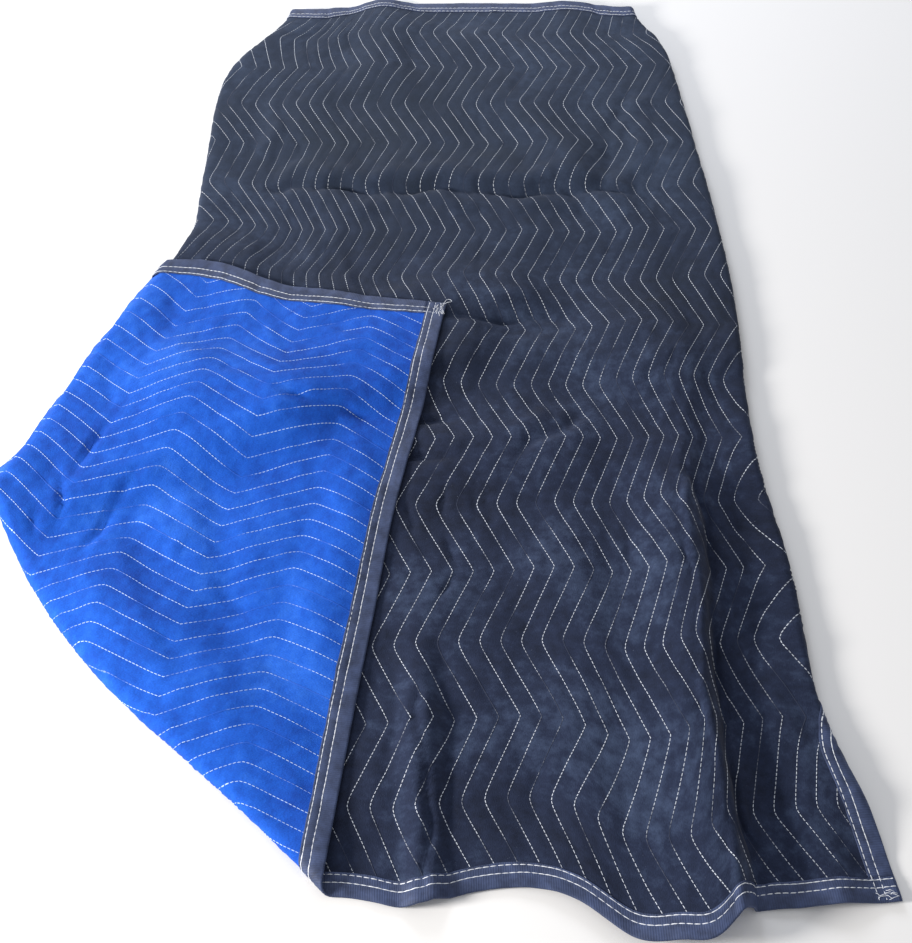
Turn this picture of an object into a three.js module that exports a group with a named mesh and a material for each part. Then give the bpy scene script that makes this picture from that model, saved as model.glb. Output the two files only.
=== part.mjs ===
// A quilted moving blanket, laid out face up on the floor.
//
// The blanket is two quilted panels, a navy face and a blue back, with woven tape bound round all four
// edges. Its near left corner is turned back over the face, so that the blue back shows. Both sides are
// tucked under along slanting folds, so the blanket narrows towards its far end, and soft swells run
// through the cloth.
//
// Every solid is drawn flat in the cut, where u runs across the blanket and v along it, and is then laid
// down by one function, layCloth, which turns the folds and raises the swells. All sizes are millimetres.
import * as THREE from "three";
import { ConvexHull } from "three/addons/math/ConvexHull.js";
import { mergeVertices } from "three/addons/utils/BufferGeometryUtils.js";

// The cut.
const WIDTH = 1830;
const LENGTH = 2030;
const PANEL = 2.4; // one quilted panel, out in the field
const PANEL_EDGE = 0.9; // one panel, pressed inside the binding
const GAP = 0.4; // between pieces that are sewn together
const TAPE = 0.9;
const BAND = 33; // how far the tape reaches over the panels
const PRESS = 28; // the panels grow from pressed to full over this width
const THICK = 2 * PANEL + GAP;

// The folds. The corner's leaves the near hem at CORNER_U and the left edge at CORNER_V, and is turned
// first.
const CORNER_U = 1067;
const CORNER_V = 1232;
const CORNER_RADIUS = 9;
// The left tuck then starts at this distance along the corner's fold and takes this much of the far edge.
const LEFT_TUCK_START = 860;
const LEFT_TUCK_U = 790;
// The right tuck starts at this height on the right edge and takes this much of the far edge.
const RIGHT_TUCK_V = 190;
const RIGHT_TUCK_U = 150;
const TUCK_RADIUS = 7.5;
const FLARE = 70; // the right edge is let out by this where it is tucked, so that the tuck starts short
const FLARE_BAND = 95; // within this distance of the edge

// How layers lie on each other.
const LAYER = 8.5; // from the middle of one layer to the middle of the next
const CORNER_LAYER = 12;
const RELAX = 95; // a fold's height sinks to the layers' own over this distance
const LEDGE = 45; // the cloth stays up this far past an edge under it
const RAMP = 95; // and then comes down to the floor over this distance

// Where the origin lies in the laid cloth: under the middle of its outline.
const CENTRE_X = 1161;
const CENTRE_Y = 978;

// The mesh.
const GRID = 118;
const GRID_JITTER = 9;
const FOLD_STEP = 88;
const SLANT_END = 56; // the corner's fold crosses the tape at a slant, and has closer rows this far
const SLANT_STEP = 11;
const SWELL_STEP = 56;
const ROW_SHIFT = 0.04; // keeps the joining of the rows' points in no doubt
const SAG = 1.3; // how far the edges may bow between two of their points
const FIELD_SAG = 3.0; // and the cloth between them
const FIELD_ROUNDS = 2;
const FIELD_STEP = 56; // but no side of a triangle shorter than this is halved
const STEEP = 2; // how many of the swells below are steep enough for rows of points of their own
const CLEAR_OF_BAND = 24;
const CLEAR_OF_ROWS = 42;

// Swells of the laid cloth over the floor: from one end to the other, how high, and how wide on each side of
// the crest, seen from the first end. near and far say how much of the height is left at the two ends.
const swell = (name, x0, y0, x1, y1, high, left, right, near, far) =>
  ({ name, x0, y0, x1, y1, high, left, right, near, far });
const SWELLS = [
  swell("hem pleat", 1205, -60, 1190, 470, 18, 38, 34, 1, 0),
  swell("front corner", 1592, -80, 1640, 930, 42, 150, 62, 1, 0),
  swell("apron", 1452, -80, 1430, 820, 14, 115, 110, 1, 0),
  swell("side panel", 1752, -60, 1722, 430, 12, 58, 62, 1, 0),
  swell("arm", 1450, 1075, 1725, 850, 27, 150, 150, 0, 0),
  swell("seat roll", 1120, 745, 1610, 770, 14, 105, 130, 0, 0),
  swell("lap crease", 1240, 980, 1500, 975, 8, 46, 80, 0, 0),
  swell("back crease low", 1080, 1112, 1500, 1096, 12, 90, 56, 0, 0),
  swell("back crease high", 790, 1432, 1630, 1418, 9, 90, 42, 0, 0),
  swell("back slant", 1640, 1180, 1320, 1720, 13, 60, 75, 0, 0),
  swell("far end", 1085, 1620, 1060, 2110, 11, 90, 90, 0, 1),
];
// The same on the turned-back corner, above what it lies on.
const CORNER_SWELLS = [
  swell("arm bulge", 560, 930, 1150, 790, 24, 110, 165, 0, 0),
  swell("fold roll", 1090, 110, 590, 690, 17, 80, 92, 0, 0),
  swell("hang crease", 790, 740, 930, 340, 9, 62, 66, 0, 0),
  swell("hem roll", 1120, 930, 1040, 180, 10, 60, 70, 0, 0),
];
// Gentle drifts of the whole cloth along the floor: where, how far, and how widely.
const toward = (name, x, y, dx, dy, wide, deep) => ({ name, x, y, dx, dy, wide, deep });
const DRIFTS = [
  toward("fold bulge", 720, 400, -47, -41, 363, 363),
  toward("left point", 525, 730, 18, -2, 125, 135),
  toward("left flank", 585, 950, 40, -16, 240, 190),
  toward("left shoulder", 640, 1190, 76, 0, 330, 170),
  toward("left side", 660, 1420, 66, 0, 350, 260),
  toward("corner's top left", 690, 1150, 0, 38, 130, 160),
  toward("corner's tape", 1160, 640, -9, 0, 120, 170),
  toward("far left", 820, 2010, 84, -42, 170, 190),
  toward("far right", 1680, 2030, -45, -40, 130, 130),
  toward("right foot", 1800, 270, -48, 0, 190, 190),
  toward("right waist", 1790, 700, -50, 0, 200, 330),
  toward("hem pleat", 1180, -10, 0, -18, 55, 150),
  toward("hem back", 1320, 0, 4, 9, 70, 240),
  toward("front", 1512, -10, 8, -52, 88, 420),
  toward("front left", 1462, -10, 0, -20, 50, 300),
  toward("front edge", 1562, -10, 0, -20, 36, 300),
  toward("side panel", 1690, -10, 0, -20, 190, 300),
  toward("lean", 1594, -10, 5, 0, 50, 420),
  toward("foot", 1650, -10, -8, 0, 44, 420),
];

const clamp01 = (t) => Math.min(1, Math.max(0, t));
const smooth = (t) => clamp01(t) ** 2 * (3 - 2 * clamp01(t));
const dome = (t) => (Math.abs(t) < 1 ? (1 - t * t) ** 2 : 0);
const flat = (x, y) => new THREE.Vector2(x, y);

// A straight fold between two points. The cloth on the side that across counts as positive is turned, round
// a cylinder that starts half of its arc before the fold and has the fold's radius for the cloth it lies
// against.
class Fold {
  constructor(from, to, turnsLeft, radius) {
    this.start = from;
    this.along = to.clone().sub(from);
    this.length = this.along.length();
    this.along.normalize();
    this.aside = flat(this.along.y, -this.along.x).multiplyScalar(turnsLeft ? -1 : 1);
    this.radius = radius;
    this.half = (Math.PI * radius) / 2;
  }
  across(p) {
    return p.clone().sub(this.start).dot(this.aside);
  }
  point(across, along) {
    return this.start.clone().addScaledVector(this.along, along).addScaledVector(this.aside, across);
  }
  mirror(p) {
    return p.clone().addScaledVector(this.aside, -2 * this.across(p));
  }
  // Where a point comes to lie and the angle it has turned by, if it is this far outside the inmost layer.
  // An outer layer gives a little on its longer way round, and so all layers lie as if mirrored once
  // turned.
  turn(p, outside) {
    const run = this.across(p) + this.half;
    const angle = Math.min(Math.PI, Math.max(0, run / this.radius));
    const past = run < 0 ? run : -Math.max(0, run - Math.PI * this.radius);
    const along = p.clone().sub(this.start).dot(this.along);
    const across = (this.radius + outside) * Math.sin(angle) + past - this.half;
    return { place: this.point(across, along), angle };
  }
  // The height of the stack at a place: that of the fold, sinking to the layers' own away from it.
  stack(place, layer) {
    const near = dome(Math.max(0, -this.across(place) - this.half) / RELAX);
    return layer + (2 * this.radius - layer) * near;
  }
}

// The cut with its right edge let out, and the way back from there.
function flared(p) {
  const reach = smooth((p.y - RIGHT_TUCK_V) / 190) * (1 - smooth((p.y - 700) / 500));
  return flat(p.x + FLARE * reach * smooth((p.x - WIDTH + FLARE_BAND) / FLARE_BAND), p.y);
}
function unflared(p) {
  let [low, high] = [p.x - FLARE, p.x];
  for (let i = 0; i < 30; i++) {
    const mid = (low + high) / 2;
    if (flared(flat(mid, p.y)).x > p.x) high = mid;
    else low = mid;
  }
  return flat(low, p.y);
}

const corner = new Fold(flat(CORNER_U, 0), flat(0, CORNER_V), true, CORNER_RADIUS);
const tip = corner.point(0, LEFT_TUCK_START);
const leftTuck = new Fold(tip, flat(LEFT_TUCK_U, LENGTH), true, TUCK_RADIUS);
const rightTop = flat(WIDTH - RIGHT_TUCK_U, LENGTH);
const rightTuck = new Fold(flat(WIDTH, RIGHT_TUCK_V), rightTop, false, TUCK_RADIUS);

// The parts that lie tucked under the cloth: the left of the main sheet, the left of the turned-back corner
// below that, and the right of the main sheet.
const corners = (fold, ...points) => points.map((p) => fold.mirror(p));
const leftPart = corners(leftTuck, tip, flat(0, CORNER_V), flat(0, LENGTH), flat(LEFT_TUCK_U, LENGTH));
const rightPart = corners(rightTuck, rightTuck.start, rightTop, flat(WIDTH, LENGTH));
const edgeTop = corner.mirror(flat(0, 0));
const edgeRun = flat(0, CORNER_V).sub(edgeTop);
const edgeShare = leftTuck.across(edgeTop) / (leftTuck.across(edgeTop) - leftTuck.across(flat(0, CORNER_V)));
const edgeCrossing = edgeTop.clone().addScaledVector(edgeRun, edgeShare);
const cornerPart = corners(leftTuck, tip, edgeCrossing, flat(0, CORNER_V));

// How far a point is outside a shape with corners that bulge, 0 within it.
function outside(p, shape) {
  const sides = shape.map((from, i) => {
    const side = shape[(i + 1) % shape.length].clone().sub(from);
    const rest = p.clone().sub(from);
    const share = clamp01(rest.dot(side) / side.lengthSq());
    return { cross: side.cross(rest), away: rest.addScaledVector(side, -share).length() };
  });
  const within = sides.every((s) => s.cross >= 0) || sides.every((s) => s.cross <= 0);
  return within ? 0 : Math.min(...sides.map((s) => s.away));
}
const under = (p, shape) => 1 - smooth((outside(p, shape) - LEDGE) / RAMP);

function swellHeight(p, swells) {
  return swells.reduce((sum, s) => {
    const along = flat(s.x1 - s.x0, s.y1 - s.y0);
    const rest = flat(p.x - s.x0, p.y - s.y0);
    const share = rest.dot(along) / along.lengthSq();
    const side = along.cross(rest) / along.length(); // positive to the left of the crest
    const mid = 1 - Math.abs(2 * share - 1); // 0 at both ends and past them, 1 half way
    const end = share < 0.5 ? s.near : s.far;
    const fade = end + (1 - end) * smooth(1.25 * mid);
    return share < 0 || share > 1 ? sum : sum + s.high * fade * dome(side / (side > 0 ? s.left : s.right));
  }, 0);
}

// Heights of the middle of the cloth above the lowest layer's: of the tucked left part, and of the main
// sheet.
function leftPartHeight(place) {
  return corner.stack(leftTuck.mirror(place), CORNER_LAYER) * under(place, cornerPart);
}
function mainHeight(place) {
  const left = leftPartHeight(place) + leftTuck.stack(place, LAYER) * under(place, leftPart);
  const right = rightTuck.stack(place, LAYER) * under(place, rightPart);
  return Math.max(left, right) + swellHeight(place, SWELLS);
}

function drift(p) {
  return DRIFTS.reduce((moved, d) => {
    const share = Math.exp(-(((p.x - d.x) / d.wide) ** 2) - ((p.y - d.y) / d.deep) ** 2);
    return moved.add(flat(d.dx * share, d.dy * share));
  }, p.clone());
}

// The middle of the laid cloth at a point of the cut. The corner is turned over first, and then each side
// under.
function middle(u, v) {
  const over = corner.turn(flared(flat(u, v)), 0);
  const turned = (1 - Math.cos(over.angle)) / 2;
  const lift = corner.stack(over.place, CORNER_LAYER) * turned;
  const tuck = [leftTuck, rightTuck].map((fold) => fold.turn(over.place, lift)).find((t) => t.angle > 0);
  const place = tuck ? tuck.place : over.place;
  const tucked = tuck ? (1 - Math.cos(tuck.angle)) / 2 : 0;
  const bulge = turned === 1 ? swellHeight(over.place, CORNER_SWELLS) : 0;
  const top = tucked < 1 ? mainHeight(place) + lift + bulge : 0;
  const base = tucked > 0 ? Math.max(0, leftPartHeight(place) - lift) : 0;
  const moved = drift(place);
  const height = top * (1 - tucked) + base * tucked;
  return new THREE.Vector3(moved.x - CENTRE_X, moved.y - CENTRE_Y, height + THICK / 2);
}

// A point of the cut, raised off the middle of the cloth on the face's side.
function layCloth(u, v, raised) {
  const step = 0.5;
  const du = middle(u + step, v).sub(middle(u - step, v));
  const dv = middle(u, v + step).sub(middle(u, v - step));
  return middle(u, v).addScaledVector(du.cross(dv).normalize(), raised);
}

const edgeDistance = (u, v) => Math.min(u, v, WIDTH - u, LENGTH - v);
const panelThickness = (u, v) =>
  PANEL_EDGE + (PANEL - PANEL_EDGE) * smooth((edgeDistance(u, v) - BAND) / PRESS);

// How far the laid cloth strays from a straight line between two points of the cut.
function bend(a, b) {
  const [from, to] = [a, b].map((p) => middle(p.x, p.y));
  return Math.max(...[0.25, 0.5, 0.75].map((share) => {
    const p = a.clone().lerp(b, share);
    return middle(p.x, p.y).distanceTo(from.clone().lerp(to, share));
  }));
}
function line(a, b) {
  if (a.distanceTo(b) < 6 || (a.distanceTo(b) < GRID && bend(a, b) < SAG)) return [a];
  const half = a.clone().lerp(b, 0.5);
  return [...line(a, half), ...line(half, b)];
}
const pairs = (list) => list.slice(1).map((to, i) => [list[i], to]);

// The edges of the cut and of the tape on them, as runs of points that the mesh has to keep.
function bandLines() {
  const across = [0, BAND, WIDTH - BAND, WIDTH];
  const along = [0, BAND, LENGTH - BAND, LENGTH];
  return [
    ...along.flatMap((v) => pairs(across).map(([from, to]) => [flat(from, v), flat(to, v)])),
    ...across.flatMap((u) => pairs(along).map(([from, to]) => [flat(u, from), flat(u, to)])),
  ].map(([a, b]) => [...line(a, b), b]);
}

// Whether a point is in cloth that turns, or within half a step of it: only rows of points belong there.
function inFold(p) {
  const laid = corner.across(p) > 0 ? corner.mirror(p) : p;
  const beside = (fold, q) => Math.abs(fold.across(q)) < fold.half + FOLD_STEP / 2;
  return beside(corner, p) || beside(leftTuck, laid) || beside(rightTuck, flared(laid));
}

// Rows of points along the folds and the steepest swells, then a plain grid, slightly uneven, between them.
function fieldPoints() {
  const field = [];
  const inside = (p, margin) => {
    const edge = edgeDistance(p.x, p.y);
    return edge > margin && Math.abs(edge - BAND) > margin;
  };
  const clear = (p, distance) => field.every((q) => q.distanceTo(p) > distance);
  // Rows across a stretch of a fold.
  const foldRows = (fold, from, to, step, rows, toCut) => {
    const count = Math.ceil((to - from) / step);
    for (let i = 0; i <= count; i++) {
      for (let row = 0; row <= rows; row++) {
        const along = from + ((to - from) * i) / count + ROW_SHIFT * row;
        const p = toCut(fold.point(((2 * row) / rows - 1) * fold.half, along));
        if (inside(p, 4) && clear(p, 3.5)) field.push(p);
      }
    }
  };
  const asCut = (p) => p;
  foldRows(corner, -26, SLANT_END, SLANT_STEP, 4, asCut);
  foldRows(corner, corner.length - SLANT_END, corner.length + 26, SLANT_STEP, 4, asCut);
  foldRows(corner, SLANT_END + 40, LEFT_TUCK_START - 70, FOLD_STEP, 4, asCut);
  foldRows(corner, LEFT_TUCK_START - 45, LEFT_TUCK_START + 45, 13, 4, asCut);
  foldRows(corner, LEFT_TUCK_START + 70, corner.length - SLANT_END - 40, FOLD_STEP, 4, asCut);
  for (const toCut of [asCut, (p) => corner.mirror(p)]) {
    foldRows(leftTuck, 20, 62, 14, 5, toCut);
    foldRows(leftTuck, 90, 700, FOLD_STEP, 5, toCut);
  }
  foldRows(leftTuck, 760, leftTuck.length, FOLD_STEP, 4, asCut);
  foldRows(rightTuck, -20, 180, 12, 4, unflared);
  foldRows(rightTuck, 215, 1100, FOLD_STEP * 0.45, 4, unflared);
  foldRows(rightTuck, 1160, rightTuck.length, FOLD_STEP, 4, unflared);
  for (const s of SWELLS.slice(0, STEEP)) {
    const start = flat(s.x0, s.y0);
    const run = flat(s.x1 - s.x0, s.y1 - s.y0);
    const side = flat(-run.y, run.x).normalize();
    const count = Math.ceil(run.length() / SWELL_STEP);
    for (let i = 0; i <= count; i++) {
      for (const q of [s.left / 2, 0, -s.right / 2, -s.right]) {
        const p = start.clone().addScaledVector(run, i / count).addScaledVector(side, q);
        if (inside(p, 10) && clear(p, 12) && !inFold(p)) field.push(p);
      }
    }
  }
  for (let i = 1; i * GRID < WIDTH; i++) {
    for (let j = 1; j * GRID < LENGTH; j++) {
      const [across, along] = [Math.sin(i * 2.7 + j * 5.1), Math.cos(i * 4.3 + j * 1.9)];
      const p = flat(i * GRID + GRID_JITTER * across, j * GRID + GRID_JITTER * along);
      const open = edgeDistance(p.x, p.y) > BAND + CLEAR_OF_BAND && clear(p, CLEAR_OF_ROWS);
      if (open && !inFold(p)) field.push(p);
    }
  }
  return field;
}

// The best-shaped triangles on a set of points: the lower half of their hull once they are raised onto a
// bowl. Each is three indices into the points, counter-clockwise.
function joined(points) {
  const raised = points.map((p, index) => {
    const [x, y] = [p.x - WIDTH / 2, p.y - LENGTH / 2];
    return Object.assign(new THREE.Vector3(x, y, (x * x + y * y) / 1000), { index });
  });
  const faces = new ConvexHull().setFromPoints(raised).faces.filter((face) => face.normal.z < 0);
  return faces.flatMap((face) => {
    const ring = [0, 1, 2].map((i) => face.getEdge(i).head().point.index);
    const [a, b, c] = ring.map((i) => points[i]);
    const area = b.clone().sub(a).cross(c.clone().sub(a));
    const onRim = (a.x === b.x && b.x === c.x) || (a.y === b.y && b.y === c.y);
    return onRim ? [] : [area > 0 ? ring : ring.reverse()];
  });
}

// The flat mesh of the cut. It halves any step of a line that the triangles would cross until none do, and
// any side of a triangle that the laid cloth bows away from.
function flatMesh() {
  const name = (p) => `${p.x.toFixed(3)} ${p.y.toFixed(3)}`;
  const halfway = (p, q) => p.clone().lerp(q, 0.5);
  let lines = bandLines();
  let field = fieldPoints();
  for (let round = 0; ; round++) {
    const byPlace = new Map([...lines.flat(), ...field].map((p) => [name(p), p]));
    const points = [...byPlace.values()];
    const indexOf = new Map([...byPlace.keys()].map((key, i) => [key, i]));
    const triangles = joined(points);
    const sides = new Set(triangles.flatMap(([a, b, c]) => [`${a} ${b}`, `${b} ${c}`, `${c} ${a}`]));
    const kept = (p, q) => {
      const [a, b] = [indexOf.get(name(p)), indexOf.get(name(q))];
      return sides.has(`${a} ${b}`) || sides.has(`${b} ${a}`);
    };
    const bowed = [...sides].map((side) => side.split(" ").map((i) => points[i])).filter(([p, q]) => {
      const mid = halfway(p, q);
      const open = edgeDistance(mid.x, mid.y) > BAND + 8 && !inFold(mid);
      return open && name(p) < name(q) && p.distanceTo(q) > FIELD_STEP && bend(p, q) > FIELD_SAG;
    });
    if (round < FIELD_ROUNDS) {
      const clear = (p, list) => list.every((q) => q.distanceTo(p) > FIELD_STEP / 2);
      const added = [];
      for (const p of bowed.map(([a, b]) => halfway(a, b))) {
        if (clear(p, added)) added.push(p);
      }
      field = [...field, ...added];
    } else if (lines.every((list) => pairs(list).every(([p, q]) => kept(p, q)))) {
      return { points, triangles };
    }
    lines = lines.map((list) => [
      ...pairs(list).flatMap(([p, q]) => (kept(p, q) ? [p] : [p, halfway(p, q)])),
      list.at(-1),
    ]);
  }
}

// The directed edges that only one triangle has.
function rimOf(triangles) {
  const used = new Set(triangles.flatMap(([a, b, c]) => [`${a} ${b}`, `${b} ${c}`, `${c} ${a}`]));
  return [...used].map((e) => e.split(" ").map(Number)).filter(([a, b]) => !used.has(`${b} ${a}`));
}

// A closed mesh from a list of places and triangles of indices into it.
function solid(places, faces) {
  const geometry = new THREE.BufferGeometry();
  geometry.setAttribute("position", new THREE.Float32BufferAttribute(places.flatMap((p) => p.toArray()), 3));
  geometry.setIndex(faces.flat());
  const merged = mergeVertices(geometry, 1e-4);
  merged.computeVertexNormals();
  return merged;
}

// One panel: the flat mesh laid down twice, at the panel's two faces, and closed round its rim.
function panel({ points, triangles }, low, high) {
  const n = points.length;
  const places = [low, high].flatMap((raised) => points.map((p) => layCloth(p.x, p.y, raised(p.x, p.y))));
  return solid(places, [
    ...triangles.map(([a, b, c]) => [c, b, a]),
    ...triangles.map(([a, b, c]) => [a + n, b + n, c + n]),
    ...rimOf(triangles).flatMap(([a, b]) => [[a, b, b + n], [a, b + n, a + n]]),
  ]);
}

// One strip of tape, folded over a bound edge: the flat mesh of its band laid down four times, at the
// inside and outside of each leg of the U, and joined round the bare edge. edge is 0 on the bare edge and
// the distance from it elsewhere, outward is the way off the cloth there, and ends moves the strip's ends
// to where it stops.
function binding({ points, triangles }, edge, outward, ends) {
  const inner = GAP / 2 + PANEL_EDGE + GAP;
  const outer = inner + TAPE;
  const band = triangles.filter((ring) => ring.every((i) => edge(points[i]) < BAND + 1e-3));
  const places = [];
  const faces = [];
  const put = (i, off, raised) => {
    const p = ends(points[i]).addScaledVector(outward, off);
    return places.push(layCloth(p.x, p.y, raised)) - 1;
  };
  const columns = new Map(); // for each point of the band, its places in order round the U's section
  for (const i of new Set(band.flat())) {
    const bare = edge(points[i]) < 1e-3;
    const wrap = (off, raised) => (bare ? [put(i, off, raised), put(i, off, -raised)] : []);
    const [top, bottom] = [put(i, 0, outer), put(i, 0, -outer)];
    const [roof, base] = [put(i, 0, inner), put(i, 0, -inner)];
    columns.set(i, { top, bottom, roof, base, out: wrap(GAP + TAPE, outer), in: wrap(GAP, inner) });
  }
  const at = (ring, name) => ring.map((i) => columns.get(i)[name]);
  for (const ring of band) {
    faces.push(at(ring, "top"), at(ring, "roof").reverse(), at(ring, "base"), at(ring, "bottom").reverse());
  }
  const quad = (a, b, c, d) => faces.push([a, b, c], [a, c, d]);
  const bareTurns = new Map(); // how often an end of the bare edge is reached, to find the strip's two ends
  for (const [a, b] of rimOf(band)) {
    const [p, q] = [columns.get(a), columns.get(b)];
    if (p.out.length && q.out.length) {
      const outside = [[p.top, q.top], [p.out[0], q.out[0]], [p.out[1], q.out[1]], [p.bottom, q.bottom]];
      const inside = [[p.base, q.base], [p.in[1], q.in[1]], [p.in[0], q.in[0]], [p.roof, q.roof]];
      for (const side of [outside, inside]) {
        for (const [[e, f], [g, h]] of pairs(side)) quad(e, g, h, f);
      }
      for (const end of [a, b]) bareTurns.set(end, (bareTurns.get(end) ?? 0) + (end === a ? 1 : -1));
    } else {
      quad(p.roof, q.roof, q.top, p.top);
      quad(p.bottom, q.bottom, q.base, p.base);
    }
  }
  for (const [end, turns] of bareTurns) {
    const e = columns.get(end);
    const cap = [[e.roof, e.top], [e.in[0], e.out[0]], [e.in[1], e.out[1]], [e.base, e.bottom]];
    for (const [[g, h], [k, m]] of pairs(cap)) {
      if (turns > 0) quad(h, g, k, m);
      if (turns < 0) quad(g, h, m, k);
    }
  }
  return solid(places, faces);
}

const mesh = flatMesh();

const navy = new THREE.MeshStandardMaterial({ color: 0x37435c, roughness: 0.88, metalness: 0 });
const blue = new THREE.MeshStandardMaterial({ color: 0x2b6bd6, roughness: 0.86, metalness: 0 });
const tape = new THREE.MeshStandardMaterial({ color: 0x2c3550, roughness: 0.8, metalness: 0 });

const blanket = new THREE.Group();
function add(name, geometry, material) {
  const mesh = new THREE.Mesh(geometry, material);
  mesh.name = name;
  blanket.add(mesh);
}

const OVERHANG = GAP + TAPE;
const { clamp } = THREE.MathUtils;
// A hem's tape runs to the outside of the side tapes, and a side's tape stops short of the hems' tapes.
const hemEnds = (p) => flat(p.x < 1e-3 ? -OVERHANG : p.x > WIDTH - 1e-3 ? WIDTH + OVERHANG : p.x, p.y);
const sideEnds = (p) => flat(p.x, clamp(p.y, BAND + GAP, LENGTH - BAND - GAP));
const side = (p, distance) => (p.y < BAND - 1e-3 || p.y > LENGTH - BAND + 1e-3 ? Infinity : distance);

add("face_panel", panel(mesh, () => GAP / 2, (u, v) => GAP / 2 + panelThickness(u, v)), navy);
add("back_panel", panel(mesh, (u, v) => -GAP / 2 - panelThickness(u, v), () => -GAP / 2), blue);
add("near_hem_binding", binding(mesh, (p) => p.y, flat(0, -1), hemEnds), tape);
add("far_hem_binding", binding(mesh, (p) => LENGTH - p.y, flat(0, 1), hemEnds), tape);
add("left_binding", binding(mesh, (p) => side(p, p.x), flat(-1, 0), sideEnds), tape);
add("right_binding", binding(mesh, (p) => side(p, WIDTH - p.x), flat(1, 0), sideEnds), tape);

export default blanket;
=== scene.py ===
import math
import random

import bmesh
import bpy
import numpy as np
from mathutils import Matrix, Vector


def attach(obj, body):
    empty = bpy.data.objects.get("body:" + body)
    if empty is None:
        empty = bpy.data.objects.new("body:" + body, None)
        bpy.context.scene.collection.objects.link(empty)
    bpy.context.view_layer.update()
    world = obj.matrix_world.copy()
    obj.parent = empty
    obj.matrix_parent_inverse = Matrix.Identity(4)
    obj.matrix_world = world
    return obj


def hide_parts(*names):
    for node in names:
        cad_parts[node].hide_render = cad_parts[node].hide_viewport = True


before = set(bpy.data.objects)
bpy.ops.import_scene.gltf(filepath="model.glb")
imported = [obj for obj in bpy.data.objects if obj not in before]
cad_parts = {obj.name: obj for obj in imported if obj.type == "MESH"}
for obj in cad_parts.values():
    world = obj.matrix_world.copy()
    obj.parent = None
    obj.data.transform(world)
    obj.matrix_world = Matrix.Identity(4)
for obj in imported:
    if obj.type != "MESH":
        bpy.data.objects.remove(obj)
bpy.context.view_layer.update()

# ---------------------------------------------------------------- sizes of the blanket, in millimetres

WIDTH, LENGTH = 1830.0, 2030.0  # the flat cut
PANEL = 2.4  # one quilted side, out in the field
PANEL_EDGE = 0.9  # pressed inside the binding
GAP = 0.4
TAPE = 0.9
BAND = 33.0  # how far the tape reaches over the cloth
PRESS = 28.0  # how far in from the binding the cloth is pressed thin
THICK = 2 * PANEL + GAP

# The folds: where they cross the cut's edges, and the radius of the cloth's middle round each.
CORNER_U, CORNER_V, CORNER_RADIUS = 1067.0, 1232.0, 9.0
LEFT_TUCK_START, LEFT_TUCK_U = 860.0, 790.0  # the start is along the corner's fold
RIGHT_TUCK_V, RIGHT_TUCK_U = 190.0, 150.0
TUCK_RADIUS = 7.5
FLARE, FLARE_BAND = 70.0, 95.0  # how far the right edge is let out, and how wide the cloth is that gives
FLARE_RISE, FLARE_END, FLARE_FADE = 190.0, 700.0, 500.0  # its way in, where it starts to end, its way out
LAYER, CORNER_LAYER = 8.5, 12.0  # how high the cloth lies over a tucked part, and the corner over the sheet
RELAX = 95.0  # how far from a fold the cloth has come down
LEDGE, RAMP = 45.0, 95.0  # past the edge of what is under it: where the cloth starts down, and for how long
CENTRE_X, CENTRE_Y = 1161.0, 978.0  # the point of the cut's plan that lies at the origin
FLOOR_SOFTNESS = 0.6  # how gently the cloth comes to rest on the floor

# The quilting: zigzag rows along the length.
ROW_PITCH = 30.0
ZIG_HALF = 127.0  # from one point of the zigzag to the next
ZIG_REACH = 29.0  # to each side of the row's middle
ZIG_ROUND = 0.06  # how rounded its points are
ROWS = int(WIDTH / ROW_PITCH)
QUILT_DEPTH = 1.1  # how far a stitched row sinks below the puffed cloth beside it
QUILT_AT_EDGE = 0.25  # how much of that is left inside the binding
PUFF = 0.8  # below 1 the cloth between two rows is fuller
PUCKER = 1.0  # how deep the quilting's puckers are
PUCKER_ON_ROW = 0.3  # how much of that is left on a row

# The slackness: how far the cloth stands off what it lies on, coming up from near its edge, and its ripples.
RELIEF, RELIEF_START, RELIEF_RAMP = 5.0, 40, 160
LOOSE, BROAD_RIPPLE, FINE_RIPPLE = 0.7, 1.4, 0.5
SLACK_ON_FOLD = 0.3  # how much of it is left where the corner's fold turns
SOFT_CREASE, SHARP_CREASE = 1.4, 1.5  # how much deeper the slack cloth sinks than the tables of creases say
SHARP_WIDTH = 12  # a crease narrower than this is a sharp one
CREASE_END = 70  # how far from its ends a crease has its full height
SWELL_END = 1.25  # above 1 a swell has its full height some way before its middle

# ---------------------------------------------------------------- how the cloth is laid

# Swells over the floor: from one end to the other, how high, how wide on each side of the crest seen from the
# first end, and how much of the height is left at the near and far ends.
# x0, y0, x1, y1, high, left, right, near, far
SWELLS = [
    (1205, -60, 1190, 470, 18, 38, 34, 1, 0),  # pleat at the hem
    (1592, -80, 1640, 930, 42, 150, 62, 1, 0),  # front corner
    (1452, -80, 1430, 820, 14, 115, 110, 1, 0),  # apron
    (1752, -60, 1722, 430, 12, 58, 62, 1, 0),  # side panel
    (1450, 1075, 1725, 850, 27, 150, 150, 0, 0),  # over the arm
    (1120, 745, 1610, 770, 14, 105, 130, 0, 0),  # seat roll
    (1240, 980, 1500, 975, 8, 46, 80, 0, 0),  # lap crease
    (1080, 1112, 1500, 1096, 12, 90, 56, 0, 0),  # low crease across the back
    (790, 1432, 1630, 1418, 9, 90, 42, 0, 0),  # high crease across the back
    (1640, 1180, 1320, 1720, 13, 60, 75, 0, 0),  # slanting roll
    (1085, 1620, 1060, 2110, 11, 90, 90, 0, 1),  # far end
]
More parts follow.
